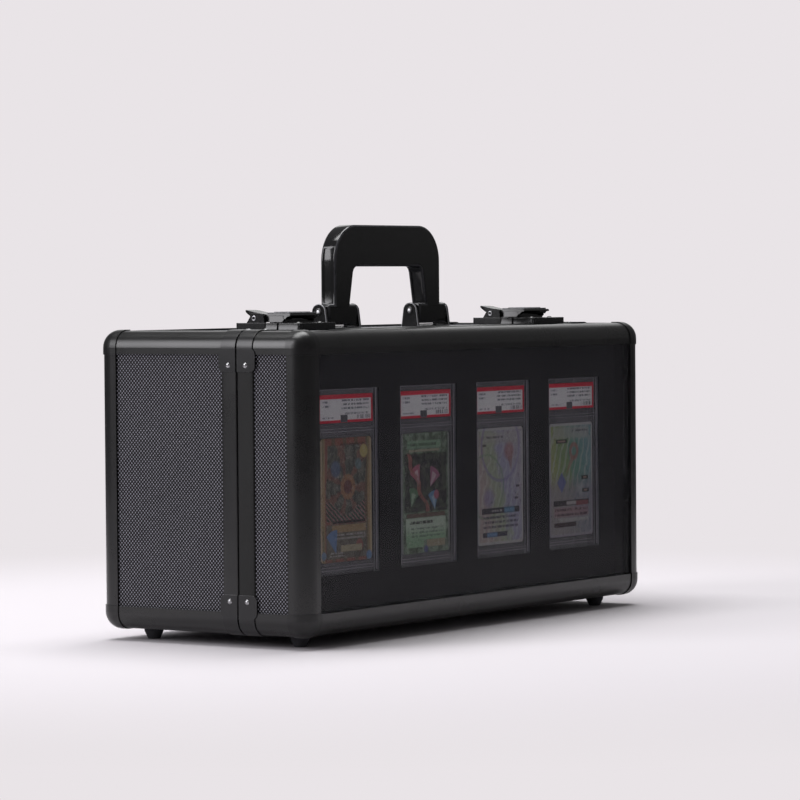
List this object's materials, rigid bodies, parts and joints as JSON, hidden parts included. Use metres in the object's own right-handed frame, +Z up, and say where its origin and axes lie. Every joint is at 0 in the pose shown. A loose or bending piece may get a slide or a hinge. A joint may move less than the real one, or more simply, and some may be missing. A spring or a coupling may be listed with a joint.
{
  "type": "trading card display case",
  "caption": "Upright carry case with rounded metal edges, a tinted window showing boxed cards, a hinged lid, lever latches, feet and a folding handle.",
  "frame": {"origin": "middle of the closed case's footprint, on the floor the four feet stand on", "axes": "+X along the case's length to the right as seen from the window, +Y from the window to the back, +Z up"},
  "size_m": [0.4574, 0.1854, 0.2987],
  "materials": {
    "textured_panel": "embossed dot pattern",
    "black_extrusion": "satin black",
    "black_corner_steel": "satin black",
    "bright_rivet": "polished",
    "black_rubber": "matt",
    "black_hardware": "satin black",
    "steel_pin": "plain",
    "handle_plastic": "glossy black",
    "black_foam": "fine closed-cell foam",
    "tinted_acrylic": "dark tint, gloss",
    "clear_plastic": "clear, gloss",
    "label_paper": "printed paper",
    "card_gold": "printed card",
    "card_green": "printed card",
    "card_pastel": "printed card",
    "card_mint": "printed card"
  },
  "bodies": {
    "base": {"back_panel": "textured_panel", "base_side_panels": "textured_panel", "base_top_panel": "textured_panel", "base_bottom_panel": "textured_panel", "rear_edge_extrusions": "black_extrusion", "base_depth_extrusions": "black_extrusion", "rear_ball_corners": "black_corner_steel", "base_rim_bars": "black_extrusion", "base_rim_brackets": "black_corner_steel", "base_rivets": "bright_rivet", "rear_feet": "black_rubber", "hinge_base_leaves": "black_hardware", "hinge_pins": "steel_pin", "latch_base_plates": "black_hardware", "latch_pins": "steel_pin", "latch_plate_rivets": "black_hardware", "handle_brackets": "black_hardware", "handle_pins": "steel_pin", "handle_bracket_rivets": "bright_rivet", "foam_floor": "black_foam", "foam_row_walls": "black_foam", "foam_end_walls": "black_foam", "row_dividers": "black_foam"},
    "lid": {"window_pane": "tinted_acrylic", "front_edge_extrusions": "black_extrusion", "lid_depth_extrusions": "black_extrusion", "front_ball_corners": "black_corner_steel", "lid_rim_bars": "black_extrusion", "lid_rim_brackets": "black_corner_steel", "lid_rivets": "bright_rivet", "lid_side_panels": "textured_panel", "lid_top_panel": "textured_panel", "lid_bottom_panel": "textured_panel", "front_feet": "black_rubber", "hinge_lid_leaves": "black_hardware", "keeper_plates": "black_hardware", "keeper_rivets": "black_hardware", "window_spacer": "black_foam", "display_mat": "black_foam", "slab_fronts": "clear_plastic", "slab_backs": "clear_plastic", "slab_labels": "label_paper", "card_1": "card_gold", "card_2": "card_green", "card_3": "card_pastel", "card_4": "card_mint"},
    "handle": {"handle_grip": "handle_plastic"},
    "latch_left": {"latch_arm_left": "black_hardware", "latch_cover_left": "black_hardware"},
    "latch_right": {"latch_arm_right": "black_hardware", "latch_cover_right": "black_hardware"}
  },
  "joints": [
    {"name": "lid_hinge", "type": "hinge", "parent": "base", "child": "lid", "pos_m": [0, -0.0325, 0.0055], "axis": [1, 0, 0], "range_deg": [0, 100]},
    {"name": "handle_fold", "type": "hinge", "parent": "base", "child": "handle", "pos_m": [0, 0, 0.2341], "axis": [1, 0, 0], "range_deg": [-88, 88]},
    {"name": "latch_left_lift", "type": "hinge", "parent": "base", "child": "latch_left", "pos_m": [-0.155, -0.0112, 0.2308], "axis": [-1, 0, 0], "range_deg": [0, 32]},
    {"name": "latch_right_lift", "type": "hinge", "parent": "base", "child": "latch_right", "pos_m": [0.155, -0.0112, 0.2308], "axis": [-1, 0, 0], "range_deg": [0, 32]}
  ]
}
